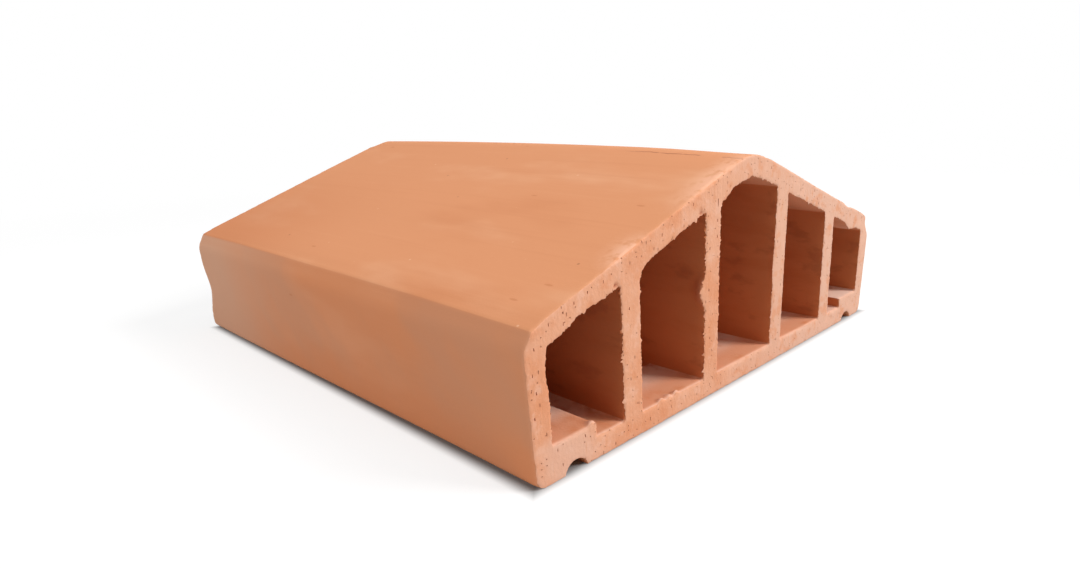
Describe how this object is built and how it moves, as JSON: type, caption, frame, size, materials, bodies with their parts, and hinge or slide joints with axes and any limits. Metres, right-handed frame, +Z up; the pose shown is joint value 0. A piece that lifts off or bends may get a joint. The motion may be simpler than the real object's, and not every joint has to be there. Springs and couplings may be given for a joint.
{
  "type": "hollow clay coping brick",
  "caption": "Hollow extruded terracotta coping brick: gabled top, open cells along its length and drip grooves under both eaves, laid in mortar to cap a wall.",
  "frame": {"origin": "middle of the flat underside", "axes": "+X across the wall, +Y along the wall and the extrusion, +Z up to the ridge"},
  "size_m": [0.3026, 0.33, 0.1177],
  "materials": {
    "terracotta": "matte unglazed fired clay, wire-cut at both ends"
  },
  "bodies": {
    "root": {"coping_brick": "terracotta"}
  },
  "joints": []
}
